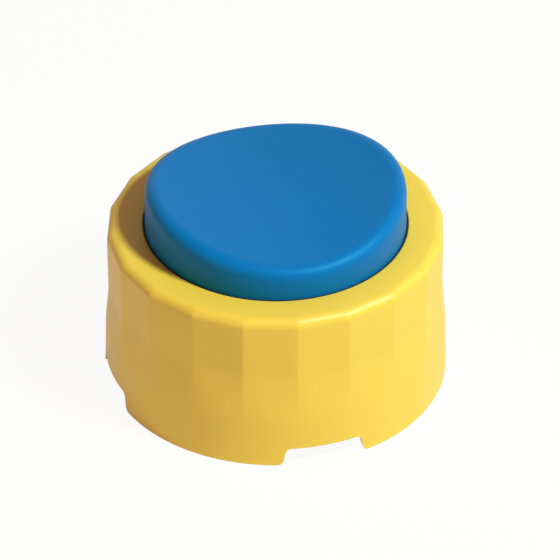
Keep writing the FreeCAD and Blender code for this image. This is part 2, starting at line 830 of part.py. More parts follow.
def terminal_block():
    """The moulding that holds two clamps, open at both sides for wires and at its top for a screwdriver."""
    sides = about(block_x, block_depth)
    body = block(sides, about(0.0, 2 * block_pitch), (post_top, post_top + block_height))
    lugs = block(sides, about(0.0, 2 * (block_pitch + lug_length)), (post_top, post_top + lug_thickness))
    moulding = joined(body, lugs)
    clamp_bottom = post_top + clamp_lift
    for clamp_y in clamp_places():
        chamber = block(
            about(block_x, clamp_length + 2 * seat_gap),
            about(clamp_y, clamp_width + 2 * seat_gap),
            (clamp_bottom, clamp_bottom + clamp_height + seat_gap),
        )
        entry_start = point(block_x - block_depth, clamp_y, wire_z)
        entry = rod(wire_hole_radius, entry_start, entry_start + ALONG_X * (2 * block_depth))
        well = disc(clamp_head_radius + hole_gap, wire_z, post_top + block_height + SPARE, block_x, clamp_y)
        moulding = moulding.cut([chamber, entry, well])
    for at in block_screw_centres():
        seat = point(at.x, at.y, post_top)
        moulding = moulding.cut(pass_hole(small_screw, seat, UP, lug_thickness))
    return moulding


def terminal_clamps():
    """Brass cages with a bore for the wires and a threaded hole for the clamp screw."""
    clamps = []
    clamp_bottom = post_top + clamp_lift
    for clamp_y in clamp_places():
        heights = (clamp_bottom, clamp_bottom + clamp_height)
        cage = block(about(block_x, clamp_length), about(clamp_y, clamp_width), heights)
        bore_start = point(block_x - block_depth, clamp_y, wire_z)
        bore = rod(wire_hole_radius, bore_start, bore_start + ALONG_X * (2 * block_depth))
        thread = disc(clamp_shank_radius + seat_gap, wire_z, heights[1] + SPARE, block_x, clamp_y)
        clamps.append(cage.cut([bore, thread]))
    return clamps


def clamp_screws():
    """Slotted screws whose tips press on the leads."""
    screws = []
    clamp_top = post_top + clamp_lift + clamp_height
    tip_z = wire_z + lead_radius + seat_gap
    for clamp_y in clamp_places():
        shank = disc(clamp_shank_radius, tip_z, clamp_top, block_x, clamp_y)
        head_top = clamp_top + clamp_head_height
        head = disc(clamp_head_radius, clamp_top, head_top, block_x, clamp_y)
        slot_width = about(clamp_y, clamp_head_radius * drive_width_share)
        slot_floor = clamp_top + clamp_head_height * (1 - drive_depth_share)
        slot_length = about(block_x, 2 * clamp_head_radius + SPARE)
        slot = block(slot_length, slot_width, (slot_floor, head_top + SPARE))
        screws.append(joined(shank, head).cut(slot))
    return screws


def block_screws():
    seats = [point(at.x, at.y, post_top + lug_thickness) for at in block_screw_centres()]
    return [screw(small_screw, block_screw_length, seat, DOWN) for seat in seats]


def lead(side):
    """A lead from a tab's edge, round the spring to its clamp, on one side of the XZ plane."""
    tab_edge = tab_spacing + tab_width / 2
    tab_middle = switch_bottom - tab_drop / 2
    clamp_y = block_pitch / 2
    swing_height = cover_top + lead_swing_rise
    route = [point(switch_x, tab_edge, tab_middle), point(switch_x, tab_edge + lead_tab_run, tab_middle)]
    route += [polar(lead_swing_radius, angle, swing_height) for angle in LEAD_ANGLES]
    route.append(point(block_inner_x + lead_entry_run, clamp_y, wire_z))
    route.append(point(block_x - lead_past_clamp_screw, clamp_y, wire_z))
    places = [point(at.x, side * at.y, at.z) for at in route]
    path = rounded_path(places, bend_radii(places))
    start = places[0]
    heading = (places[1] - start).normalize()
    section = Part.Wire(Part.makeCircle(lead_radius, start, heading))
    return path.makePipeShell([section], True, True)


def bend_radii(places):
    """The largest even radius at each inner point of a route."""
    radii = []
    for before, corner, after in zip(places, places[1:], places[2:]):
        shorter = min((corner - before).Length, (after - corner).Length)
        half_turn = (corner - before).getAngle(after - corner) / 2
        radii.append(bend_share * shorter / math.tan(half_turn))
    return radii


def build():
    os.makedirs("parts", exist_ok=True)
    save("housing_shell", housing_shell())
    save("back_cover", back_cover())
    save("cover_gasket", cover_gasket())
    save("cover_screws", *cover_screws())
    save("mounting_inserts", *mounting_inserts())
    save("cable_grommet", cable_grommet())
    save("breather_vent", breather_vent())
    save("push_cap", push_cap())
    save("cap_carrier", cap_carrier())
    save("carrier_screws", *carrier_screws())
    save("stop_ring", stop_ring())
    save("wiper_seal", wiper_seal())
    save("stem", stem())
    save("stem_screw", stem_screw())
    save("stem_bush", stem_bush())
    save("return_spring", return_spring())
    save("spring_washer", spring_washer())
    save("switch_bracket", switch_bracket())
    save("bracket_screws", *bracket_screws())
    save("switch_case", switch_case())
    save("switch_terminals", *switch_terminals())
    save("switch_plunger", switch_plunger())
    save("switch_lever", switch_lever())
    save("lever_pin", lever_pin())
    save("switch_screws", *switch_screws())
    save("switch_nuts", *switch_nuts())
    save("terminal_block", terminal_block())
    save("terminal_clamps", *terminal_clamps())
    save("clamp_screws", *clamp_screws())
    save("block_screws", *block_screws())
    save("common_lead", lead(-1))
    save("switched_lead", lead(1))


build()
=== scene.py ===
# The looks of a pedestrian push button: a faceted yellow housing with a dished blue cap.
# Metres. The origin is the centre of the mounting face, and +Z points out through the cap.
import json
import math

import bmesh
import bpy
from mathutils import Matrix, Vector


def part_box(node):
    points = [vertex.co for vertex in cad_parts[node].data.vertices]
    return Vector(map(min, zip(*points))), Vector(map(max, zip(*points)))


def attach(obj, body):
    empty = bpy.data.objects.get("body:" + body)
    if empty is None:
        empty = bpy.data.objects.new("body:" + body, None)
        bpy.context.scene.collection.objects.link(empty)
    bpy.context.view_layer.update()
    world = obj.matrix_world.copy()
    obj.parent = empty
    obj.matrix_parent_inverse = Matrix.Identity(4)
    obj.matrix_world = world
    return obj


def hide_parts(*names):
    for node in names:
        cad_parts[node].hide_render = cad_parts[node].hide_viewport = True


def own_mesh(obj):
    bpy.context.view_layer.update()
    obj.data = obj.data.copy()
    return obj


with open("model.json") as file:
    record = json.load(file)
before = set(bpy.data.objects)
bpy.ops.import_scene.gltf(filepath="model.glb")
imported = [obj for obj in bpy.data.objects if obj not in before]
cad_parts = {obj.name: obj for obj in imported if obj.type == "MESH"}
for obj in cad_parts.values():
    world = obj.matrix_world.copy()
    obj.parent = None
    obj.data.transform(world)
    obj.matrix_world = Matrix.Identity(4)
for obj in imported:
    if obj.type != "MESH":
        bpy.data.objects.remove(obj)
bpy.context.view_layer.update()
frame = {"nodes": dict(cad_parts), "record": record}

MM = 0.001
SMOOTH_ANGLE = math.radians(30.0)
OVERLAP = MM  # how far a form runs into, or past, the one that it is joined to or cuts
SMALL = 0.02 * MM  # places closer than this count as the same
MERGE_DISTANCE = 0.002 * MM
BAR_SEGMENTS = 48
TURNS = [math.radians(45.0 + 90.0 * index) for index in range(4)]  # of the bosses and the ribs

# Housing
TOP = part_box("housing_shell")[1].z  # the ring's flat top
FOOT_RADIUS = 50.0 * MM
FACETS = 20
FACET_CORNER_RADIUS = 48.0 * MM / math.cos(math.pi / FACETS)
FACET_EDGE_ROUNDING = 3.2 * MM
FACET_START = 30.0 * MM
ROUND_BAND = 16.0 * MM
BAND_SLOPE = math.tan(math.radians(1.8))
TOP_EDGE_ROUNDING = 2.8 * MM
OPENING_RADIUS = 38.0 * MM
OPENING_EDGE_ROUNDING = 0.4 * MM
COLLAR_RADIUS = 41.0 * MM
COLLAR_BOTTOM = 40.5 * MM
RING_UNDERSIDE = 46.5 * MM
CAVITY_RADIUS = 45.4 * MM
RIM_RADIUS = 47.4 * MM
LEDGE = 10.5 * MM
CORNER_SEGMENTS = 4
FACET_SEGMENTS = 8
TOP_EDGE_SEGMENTS = 8
OPENING_EDGE_SEGMENTS = 4
BLEND_STEPS = 10
NEAR_STEP = 1.5 * MM  # a supporting loop's distance from the change of slope that it keeps tight

# Wiper seal, and its groove in the collar
SEAL_LOW, SEAL_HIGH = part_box("wiper_seal")
GROOVE_RADIUS = 39.0 * MM
SLEEVE_RADIUS = 37.75 * MM
SLEEVE_FIT = 0.03 * MM
LIP_FIT = 0.08 * MM
LIP_TOP = 0.18 * MM  # below the ring's top, as the next two are
LIP_NECK = 0.45 * MM
LIP_FOOT = 0.9 * MM
SLEEVE_SHOULDER = 1.4 * MM
SEAL_SEGMENTS = 240

# Notches in the rim
NOTCH_TOP_WIDTH = 22.0 * MM
NOTCH_HEIGHT = 5.7 * MM
NOTCH_FLARE = math.radians(11.0)
NOTCH_ROUNDING = 1.8 * MM
NOTCH_CORNER_SEGMENTS = 5
NOTCH_TURNS = [math.radians(90.0 * index) for index in range(4)]
CUTTER_MARGIN = 3.0 * MM
FACES_UP = 0.9  # the least that a normal rises by on a face that faces up

# Screw pillars inside the housing
PILLAR_CIRCLE = 41.0 * MM
BOSS_RADIUS = 3.8 * MM
BOSS_LOW = 9.0 * MM
BOSS_HIGH = 27.0 * MM
BOSS_HOLE_RADIUS = 1.8 * MM
BOSS_HOLE_HIGH = 21.5 * MM
WEB_WIDTH = 2.4 * MM
RIB_WIDTH = 3.0 * MM
RIB_INNER_RADIUS = 41.6 * MM
TIE_INNER_RADIUS = OPENING_RADIUS + 1.5 * MM

# Push cap
CAP_LOW, CAP_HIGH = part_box("push_cap")
CAP_RADIUS = CAP_HIGH.x
CAP_EDGE_ROUNDING = 3.3 * MM
CAP_EDGE_WIDEST = 2 * CAP_EDGE_ROUNDING  # no corner of the rim is so sharp that its rounding is wider
CAP_WALL = 2.6 * MM
CAP_TOP_THICKNESS = 3.0 * MM
CAP_SEGMENTS = 240
CAP_EDGE_SEGMENTS = 10
CAP_DRAFT = math.radians(1.0)
CAP_RISE = 9.1 * MM
TROUGH_RADIUS = 120.0 * MM
TROUGH_LENGTH = 4 * CAP_RADIUS
TROUGH_SEGMENTS = 1440
TROUGH_RINGS = 10
TROUGH_MARGIN = 5.0 * MM  # from the rim to the first ring inside it
CAP_BOSS_CIRCLE = 24.0 * MM
CAP_BOSS_HOLE_RADIUS = 1.5 * MM
CAP_BOSS_HOLE_DEPTH = 10.0 * MM
CAP_RIB_WIDTH = 1.8 * MM
CAP_RIB_DEPTH = 4.0 * MM

# Finishes
WHITE = (1.0, 1.0, 1.0, 1.0)
YELLOW = (0.78, 0.55, 0.054)
BLUE = (0.001, 0.140, 0.39)
BLUE_SHEEN = (0.15, 0.8, 1.0, 1.0)
DARK_GREY = (0.05, 0.05, 0.055)
GREY = (0.40, 0.41, 0.42)
NATURAL = (0.76, 0.75, 0.70)
BLACK = (0.018, 0.018, 0.02)
RED = (0.50, 0.025, 0.018)
ZINC = (0.62, 0.63, 0.64)
BRIGHT_STEEL = (0.56, 0.56, 0.55)
BRASS = (0.80, 0.58, 0.26)
BROWN = (0.13, 0.055, 0.025)
WIRE_BLUE = (0.02, 0.09, 0.33)
NOISE_MIDDLE = 0.5
FLOW_SIZE = 22.0 * MM
FLOW_GLOSS = 0.05
FLOW_TONE = 0.03
WAVE_SIZE = 7.0 * MM
WAVE_DEPTH = 0.012 * MM
SATIN = (0.45 * MM, 0.004 * MM)  # the grain's size and depth, as in the next two
COARSE = (0.6 * MM, 0.012 * MM)
DRAWN = (0.3 * MM, 0.004 * MM)
GRAIN_GLOSS = 0.06
PLASTIC_SHINE = 0.5
RUBBER_SHINE = 0.12
RUBBER_ROUGHNESS = 0.68
BLOOM_SIZE = 3.0 * MM
BLOOM_ROUGHNESS = 0.2
BLOOM_TONES = (-0.2, 0.6)
PIT_SIZE = 0.5 * MM
PIT_DEPTH = 0.01 * MM
TARNISH_SIZE = 4.0 * MM
TARNISH_ROUGHNESS = 0.16
TARNISH_TONES = (-0.14, 0.08)
MARK_ROUGHNESS = 0.2
PLATED = (0.25 * MM, 0.002 * MM)  # the marks' size and depth, as in the next two
ROLLED = (0.15 * MM, 0.001 * MM)
TURNED = (0.12 * MM, 0.002 * MM)
EVEN = (1.0, 1.0, 1.0)
ALONG_Z = (1.0, 1.0, 0.2)  # marks that are long on Z
AROUND_Z = (0.1, 0.1, 1.0)  # marks that are long on X and Y
PLAIN_DETAIL = 2.0
MARK_DETAIL = 3.0
FINE_DETAIL = 4.0
MIX_FACTOR = 0  # the Mix node's colour sockets, by number, because their names aren't theirs alone
MIX_FIRST = 6
MIX_SECOND = 7
MIX_RESULT = 2

# What each finish is made with, by its slot in the record
PLASTICS = {
    "yellow_plastic": dict(colour=YELLOW, roughness=0.44, grain=SATIN),
    "blue_plastic": dict(colour=BLUE, roughness=0.50, grain=SATIN, shine=0.34, tint=BLUE_SHEEN),
    "dark_plastic": dict(colour=DARK_GREY, roughness=0.55, grain=COARSE, tone=0.12),
    "grey_plastic": dict(colour=GREY, roughness=0.50, grain=SATIN),
    "white_plastic": dict(colour=NATURAL, roughness=0.45, grain=SATIN),
    "black_plastic": dict(colour=BLACK, roughness=0.50, grain=COARSE, tone=0.2),
    "red_plastic": dict(colour=RED, roughness=0.35, grain=SATIN),
    "brown_wire": dict(colour=BROWN, roughness=0.45, grain=DRAWN, tone=0.08),
    "blue_wire": dict(colour=WIRE_BLUE, roughness=0.45, grain=DRAWN, tone=0.08),
}
RUBBERS = {
    "black_rubber": dict(colour=BLACK),
}
METALS = {
    "steel": dict(colour=ZINC, roughness=0.36, marks=PLATED, stretch=EVEN),
    "spring_steel": dict(colour=BRIGHT_STEEL, roughness=0.28, marks=ROLLED, stretch=ALONG_Z),
    "brass": dict(colour=BRASS, roughness=0.26, marks=TURNED, stretch=AROUND_Z),
}

# The studio. Turns and rises are in degrees: turns from the front to the right, rises above the floor.
FLOOR_COLOUR = (0.80, 0.76, 0.70, 1.0)
FLOOR_GLOW = 0.94  # the share of white that hides the rest of the shadow
FLOOR_SIZE = 6.0
AMBIENT = (0.22, 0.085, 0.055)
AIM = Vector((0.0, 0.0, 0.025))
LAMP_DISTANCE = 1.2
LAMPS = {
    "key": dict(turn=45.0, rise=51.0, size=0.22, watts=17.8, colour=(0.87, 1.0, 1.0)),
    "left": dict(turn=-65.0, rise=14.0, size=0.5, watts=2.2, colour=(1.0, 0.82, 0.45)),
}
CAMERA_TURN = -16.3
CAMERA_RISE = 37.0
CAMERA_DISTANCE = 1.116
CAMERA_LENS = 247.2
CAMERA_SHIFT_X = 0.00777
CAMERA_SHIFT_Y = 0.01607
CLIP_START = 0.01


# Modelling, one loop or face at a time

def select_only(piece):
    bpy.ops.object.select_all(action="DESELECT")
    piece.select_set(True)
    bpy.context.view_layer.objects.active = piece


def place_as_modelled(piece):
    """Leaves the object at the origin, with its place in its mesh."""
    select_only(piece)
    bpy.ops.object.transform_apply(location=True, rotation=True, scale=True)


def added(name):
    """The primitive that has just been added, named and with its place in its mesh."""
    piece = bpy.context.object
    piece.name = name
    place_as_modelled(piece)
    return piece


def edit(piece):
    select_only(piece)
    bpy.ops.object.mode_set(mode="EDIT")


def finish_editing():
    bpy.ops.object.mode_set(mode="OBJECT")


def pick(kind, test):
    """Selects the edges or faces that pass a test, and nothing else."""
    bpy.ops.mesh.select_mode(type=kind)
    bpy.ops.mesh.select_all(action="DESELECT")
    mesh = bpy.context.object.data
    shape = bmesh.from_edit_mesh(mesh)
    for item in shape.edges if kind == "EDGE" else shape.faces:
        if test(item):
            item.select_set(True)
    bmesh.update_edit_mesh(mesh)


def picked_places():
    """Where the picked points are."""
    shape = bmesh.from_edit_mesh(bpy.context.object.data)
    return [vertex.co.copy() for vertex in shape.verts if vertex.select]


def reach(place):
    """A place's distance from the Z axis."""
    return math.hypot(place.x, place.y)


def on_ring(edge, radius, height):
    """Whether an edge lies along the circle of a radius at a height."""
    ends = [vertex.co for vertex in edge.verts]
    return all(abs(reach(end) - radius) < SMALL and abs(end.z - height) < SMALL for end in ends)


def draw_ring(height, radius=None):
    """Draws the picked loop out to a height, and rounds it to a radius if one is given."""
    places = picked_places()
    bpy.ops.mesh.extrude_edges_move(TRANSFORM_OT_translate={"value": (0, 0, height - places[0].z)})
    if radius is not None:
        size_ring(radius)


def size_ring(radius):
    """Makes the picked loop a circle of a radius."""
    bpy.ops.transform.tosphere(value=1.0)
    scale = radius / reach(picked_places()[0])
    bpy.ops.transform.resize(value=(scale, scale, 1.0))


def combine(piece, other, operation):
    """Adds another solid to a piece or cuts it away. What is added may be parts that overlap."""
    select_only(piece)
    boolean = piece.modifiers.new("combine", "BOOLEAN")
    boolean.object = other
    boolean.operation = operation
    boolean.solver = "EXACT"
    boolean.use_self = operation == "UNION"
    bpy.ops.object.modifier_apply(modifier=boolean.name)
    bpy.data.objects.remove(other)


def gather(pieces):
    """Joins pieces into one object."""
    select_only(pieces[0])
    for piece in pieces:
        piece.select_set(True)
    bpy.ops.object.join()
    return bpy.context.object


def face_outwards(piece):
    edit(piece)
    bpy.ops.mesh.select_all(action="SELECT")
    bpy.ops.mesh.remove_doubles(threshold=MERGE_DISTANCE)
    bpy.ops.mesh.normals_make_consistent(inside=False)
    finish_editing()


def smooth(piece):
    select_only(piece)
    bpy.ops.object.shade_smooth_by_angle(angle=SMOOTH_ANGLE)


def round_bar(name, radius, low, high, place=(0.0, 0.0), segments=BAR_SEGMENTS):
    bpy.ops.mesh.primitive_cylinder_add(
        vertices=segments,
        radius=radius,
        depth=high - low,
        location=(place[0], place[1], (low + high) / 2),
    )
    return added(name)


def slab(name, lengthways, width, heights, turn):
    """A box whose length lies along a spoke that is turned about the Z axis."""
    middle = sum(lengthways) / 2
    bpy.ops.mesh.primitive_cube_add(
        size=1.0,
        location=(middle * math.cos(turn), middle * math.sin(turn), sum(heights) / 2),
        rotation=(0, 0, turn),
        scale=(lengthways[1] - lengthways[0], width, heights[1] - heights[0]),
    )
    return added(name)


def on_spoke(radius, turn):
    return radius * math.cos(turn), radius * math.sin(turn)


# The housing

def facet_loop(height):
    """The housing's faceted outline as a loop of edges, its corners rounded, picked and being edited."""
    bpy.ops.object.select_all(action="DESELECT")
    half_step = math.pi / FACETS
    bpy.ops.mesh.primitive_circle_add(
        vertices=FACETS,
        radius=FACET_CORNER_RADIUS,
        location=(0, 0, height),
        rotation=(0, 0, half_step),
    )
    piece = added("housing")
    edit(piece)
    bpy.ops.mesh.select_all(action="SELECT")
    corner_reach = FACET_EDGE_ROUNDING * math.tan(half_step)
    bpy.ops.mesh.bevel(offset=corner_reach, segments=CORNER_SEGMENTS, affect="VERTICES")
    pick("EDGE", lambda edge: edge.calc_length() > corner_reach)
    bpy.ops.mesh.subdivide(number_cuts=FACET_SEGMENTS - 1)
    bpy.ops.mesh.select_all(action="SELECT")
    return piece


def housing_wall():
    """The housing's section drawn round from the facets' top edge, down, in and up to the opening."""
    piece = facet_loop(TOP)
    draw_ring(FACET_START + NEAR_STEP)
    draw_ring(FACET_START)
    section = [
        (FOOT_RADIUS - BAND_SLOPE * ROUND_BAND, ROUND_BAND),
        (FOOT_RADIUS - BAND_SLOPE * (ROUND_BAND - NEAR_STEP), ROUND_BAND - NEAR_STEP),
        (FOOT_RADIUS, 0.0),
        (RIM_RADIUS, 0.0),
        (RIM_RADIUS, LEDGE),
        (CAVITY_RADIUS, LEDGE),
        (CAVITY_RADIUS, RING_UNDERSIDE),
        (COLLAR_RADIUS, RING_UNDERSIDE),
        (COLLAR_RADIUS, COLLAR_BOTTOM),
        (OPENING_RADIUS, COLLAR_BOTTOM),
        (OPENING_RADIUS, SEAL_LOW.z),
        (GROOVE_RADIUS, SEAL_LOW.z),
        (GROOVE_RADIUS, SEAL_HIGH.z),
        (OPENING_RADIUS, SEAL_HIGH.z),
        (OPENING_RADIUS, TOP),
    ]
    for radius, height in section:
        draw_ring(height, radius)
    pick("EDGE", is_open_at_top)
    bpy.ops.mesh.bridge_edge_loops()
    pick("EDGE", crosses_blend)
    bpy.ops.mesh.subdivide(number_cuts=BLEND_STEPS - 1)
    finish_editing()
    face_outwards(piece)
    return piece


def is_open_at_top(edge):
    """Whether an edge borders the gap in the ring's top, between the facets and the opening."""
    return len(edge.link_faces) == 1 and all(abs(vertex.co.z - TOP) < SMALL for vertex in edge.verts)


def crosses_blend(edge):
    """Whether an edge runs from the round band up to the facets."""
    heights = sorted(vertex.co.z for vertex in edge.verts)
    return abs(heights[0] - ROUND_BAND) < SMALL and abs(heights[1] - FACET_START) < SMALL


def is_top_outline(edge):
    """Whether an edge is on the ring's outer edge, where the facets end."""
    outside = all(reach(vertex.co) > COLLAR_RADIUS for vertex in edge.verts)
    level = all(abs(vertex.co.z - TOP) < SMALL for vertex in edge.verts)
    return outside and level and len(edge.link_faces) == 2


def notch_cutter(turn):
    """A flared block on a slab, its corners rounded, that cuts one notch in the rim."""
    top_half = NOTCH_TOP_WIDTH / 2
    foot_half = top_half + NOTCH_HEIGHT * math.tan(NOTCH_FLARE)
    slab_reach = (CAVITY_RADIUS - CUTTER_MARGIN, FOOT_RADIUS + CUTTER_MARGIN)
    slab_width = 2 * (foot_half + CUTTER_MARGIN)
    bpy.ops.object.select_all(action="DESELECT")
    cutter = slab("cutter", slab_reach, slab_width, (-CUTTER_MARGIN, 0.0), 0.0)
    edit(cutter)
    for side in (-1, 1):
        bpy.ops.mesh.select_all(action="SELECT")
        bpy.ops.mesh.bisect(plane_co=(0, side * foot_half, 0), plane_no=(0, 1, 0))
    pick("FACE", is_notch_base)
    bpy.ops.mesh.extrude_region_move(TRANSFORM_OT_translate={"value": (0, 0, NOTCH_HEIGHT)})
    bpy.ops.transform.resize(value=(1.0, top_half / foot_half, 1.0))
    pick("EDGE", lambda edge: is_notch_corner(edge, foot_half))
    corner_reach = NOTCH_ROUNDING / math.tan(math.pi / 4 + NOTCH_FLARE / 2)
    bpy.ops.mesh.bevel(offset=corner_reach, segments=NOTCH_CORNER_SEGMENTS, affect="EDGES")
    finish_editing()
    cutter.rotation_euler.z = turn
    place_as_modelled(cutter)
    return cutter


def is_notch_base(face):
    """Whether a face is the middle of the slab's top, which the notch's block stands on."""
    return face.normal.z > FACES_UP and abs(face.calc_center_median().y) < SMALL


def is_notch_corner(edge, foot_half):
    """Whether an edge runs in from the rim's outside at a corner of the notch."""
    first, second = [vertex.co for vertex in edge.verts]
    runs_in = abs(first.y - second.y) < SMALL and abs(first.z - second.z) < SMALL
    return runs_in and first.z > -SMALL and abs(first.y) < foot_half + SMALL


def housing_pillars():
    """The bosses, webs and guide ribs inside the housing, one set on each diagonal."""
    pieces = []
    for turn in TURNS:
        place = on_spoke(PILLAR_CIRCLE, turn)
        pieces.append(round_bar("boss", BOSS_RADIUS, BOSS_LOW, BOSS_HIGH, place))
        web_reach = (PILLAR_CIRCLE, RIM_RADIUS)
        pieces.append(slab("web", web_reach, WEB_WIDTH, (LEDGE, BOSS_HIGH), turn))
        rib_reach = (RIB_INNER_RADIUS, CAVITY_RADIUS + OVERLAP)
        pieces.append(slab("rib", rib_reach, RIB_WIDTH, (BOSS_HIGH, RING_UNDERSIDE + OVERLAP), turn))
        tie_reach = (TIE_INNER_RADIUS, CAVITY_RADIUS + OVERLAP)
        pieces.append(slab("tie", tie_reach, RIB_WIDTH, (COLLAR_BOTTOM, RING_UNDERSIDE + OVERLAP), turn))
    return gather(pieces)


def screw_holes(circle, radius, low, high):
    """Four bars on a circle that cut the screws' holes."""
    return gather([round_bar("hole", radius, low, high, on_spoke(circle, turn)) for turn in TURNS])


def housing():
    piece = housing_wall()
    combine(piece, housing_pillars(), "UNION")
    combine(piece, screw_holes(PILLAR_CIRCLE, BOSS_HOLE_RADIUS, 0.0, BOSS_HOLE_HIGH), "DIFFERENCE")
    edit(piece)
    pick("EDGE", is_top_outline)
    bpy.ops.mesh.bevel(offset=TOP_EDGE_ROUNDING, segments=TOP_EDGE_SEGMENTS, affect="EDGES")
    pick("EDGE", lambda edge: on_ring(edge, OPENING_RADIUS, TOP))
    bpy.ops.mesh.bevel(offset=OPENING_EDGE_ROUNDING, segments=OPENING_EDGE_SEGMENTS, affect="EDGES")
    finish_editing()
    for turn in NOTCH_TURNS:
        combine(piece, notch_cutter(turn), "DIFFERENCE")
    smooth(piece)
    return piece


# The push cap

def trough_bar(radius):
    """The round bar along Y whose underside shapes the cap's top."""
    bpy.ops.object.select_all(action="DESELECT")
    bpy.ops.mesh.primitive_cylinder_add(
        vertices=TROUGH_SEGMENTS,
        radius=radius,
        depth=TROUGH_LENGTH,
        location=(0, 0, TOP + CAP_RISE + TROUGH_RADIUS),
        rotation=(math.pi / 2, 0, 0),
    )
    return added("trough")


def cap_shell():
    """The cap's outside, drawn as rings from its foot, which is a face, to the middle of its top."""
    bpy.ops.object.select_all(action="DESELECT")
    bpy.ops.mesh.primitive_circle_add(
        vertices=CAP_SEGMENTS,
        radius=CAP_RADIUS,
        fill_type="NGON",
        location=(0, 0, CAP_LOW.z),
    )
    piece = added("cap")
    edit(piece)
    bpy.ops.mesh.select_all(action="SELECT")
    rim_radius = CAP_RADIUS - CAP_RISE * math.tan(CAP_DRAFT)
    draw_ring(TOP - NEAR_STEP, CAP_RADIUS)
    draw_ring(TOP, CAP_RADIUS)
    draw_ring(TOP + CAP_RISE, rim_radius)
    inner_radius = rim_radius - TROUGH_MARGIN
    for index in range(TROUGH_RINGS):
        draw_ring(TOP + CAP_RISE, inner_radius * (1 - index / TROUGH_RINGS))
    bpy.ops.mesh.extrude_edges_move()
    bpy.ops.mesh.merge(type="CENTER")
    finish_editing()
    return piece, rim_radius


def hollow_top(piece):
    """Draws the flat top up on to the trough."""
    edit(piece)
    bpy.ops.mesh.select_mode(type="VERT")
    bpy.ops.mesh.select_all(action="DESELECT")
    shape = bmesh.from_edit_mesh(piece.data)
    for vertex in shape.verts:
        vertex.select_set(vertex.co.z > TOP + CAP_RISE - SMALL)
    bmesh.update_edit_mesh(piece.data)
    bpy.ops.object.vertex_group_assign_new()
    finish_editing()
    bar = trough_bar(TROUGH_RADIUS)
    select_only(piece)
    wrap = piece.modifiers.new("wrap", "SHRINKWRAP")
    wrap.target = bar
    wrap.wrap_method = "PROJECT"
    wrap.use_project_z = True
    wrap.use_positive_direction = True
    wrap.use_negative_direction = True
    wrap.vertex_group = piece.vertex_groups[0].name
    bpy.ops.object.modifier_apply(modifier=wrap.name)
    bpy.data.objects.remove(bar)
    piece.vertex_groups.clear()


def cap_cavity():
    """The hollow under the cap's top, less the screw bosses and the crossed ribs that stand in it."""
    below = CAP_LOW.z - OVERLAP
    above = CAP_HIGH.z + OVERLAP
    cavity = round_bar("cavity", CAP_RADIUS - CAP_WALL, below, CAP_HIGH.z, segments=CAP_SEGMENTS)
    combine(cavity, trough_bar(TROUGH_RADIUS + CAP_TOP_THICKNESS), "DIFFERENCE")
    for turn in TURNS:
        place = on_spoke(CAP_BOSS_CIRCLE, turn)
        combine(cavity, round_bar("boss", BOSS_RADIUS, below - OVERLAP, above, place), "DIFFERENCE")
    rib_bottom = TOP + CAP_RISE - CAP_TOP_THICKNESS - CAP_RIB_DEPTH
    for turn in TURNS[:2]:
        rib = slab("rib", (-CAP_RADIUS, CAP_RADIUS), CAP_RIB_WIDTH, (rib_bottom, above), turn)
        combine(cavity, rib, "DIFFERENCE")
    return cavity


def push_cap():
    piece, rim_radius = cap_shell()
    hollow_top(piece)
    round_rim(piece, rim_radius)
    face_outwards(piece)
    combine(piece, cap_cavity(), "DIFFERENCE")
    low = CAP_LOW.z - OVERLAP
    high = CAP_LOW.z + CAP_BOSS_HOLE_DEPTH
    combine(piece, screw_holes(CAP_BOSS_CIRCLE, CAP_BOSS_HOLE_RADIUS, low, high), "DIFFERENCE")
    smooth(piece)
    return piece


def round_rim(piece, rim_radius):
    """Rounds the rim to one radius all the way round, although its corner isn't equally sharp there."""
    edit(piece)
    shape = bmesh.from_edit_mesh(piece.data)
    share = shape.edges.layers.float.new("bevel_weight_edge")
    for edge in shape.edges:
        if is_cap_rim(edge, rim_radius):
            edge[share] = CAP_EDGE_ROUNDING * math.tan(edge.calc_face_angle() / 2) / CAP_EDGE_WIDEST
    bmesh.update_edit_mesh(piece.data)
    finish_editing()
    rounding = piece.modifiers.new("rounding", "BEVEL")
    rounding.limit_method = "WEIGHT"
    rounding.width = CAP_EDGE_WIDEST
    rounding.segments = CAP_EDGE_SEGMENTS
    bpy.ops.object.modifier_apply(modifier=rounding.name)


def is_cap_rim(edge, rim_radius):
    """Whether an edge is on the sharp rim, where the cap's wall meets its top."""
    ends = [vertex.co for vertex in edge.verts]
    return all(abs(reach(end) - rim_radius) < SMALL and end.z > TOP + CAP_RISE / 2 for end in ends)


# The wiper seal

def wiper_seal():
    """The rubber sleeve in the opening, from its root in the groove up to the lip that wipes the cap."""
    root = SEAL_HIGH.x
    outside = OPENING_RADIUS - SLEEVE_FIT
    wiping = CAP_RADIUS + LIP_FIT
    section = [
        (root, SEAL_LOW.z),
        (root, SEAL_HIGH.z),
        (outside, SEAL_HIGH.z),
        (outside, TOP - LIP_NECK),
        (OPENING_RADIUS + SLEEVE_FIT, TOP - LIP_TOP),
        (wiping, TOP - LIP_TOP),
        (wiping, TOP - LIP_FOOT),
        (SLEEVE_RADIUS, TOP - SLEEVE_SHOULDER),
        (SLEEVE_RADIUS, SEAL_LOW.z),
        (root, SEAL_LOW.z),
    ]
    bpy.ops.object.select_all(action="DESELECT")
    bpy.ops.mesh.primitive_circle_add(vertices=SEAL_SEGMENTS, radius=root, location=(0, 0, SEAL_LOW.z))
    piece = added("seal")
    edit(piece)
    bpy.ops.mesh.select_all(action="SELECT")
    for radius, height in section[1:]:
        draw_ring(height, radius)
    finish_editing()
    face_outwards(piece)
    smooth(piece)
    return piece


# The return spring

def let_spring_shorten():
    """Gives the spring its own copy of its mesh."""
    spring = frame["nodes"]["return_spring"]
    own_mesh(spring)


# Finishes

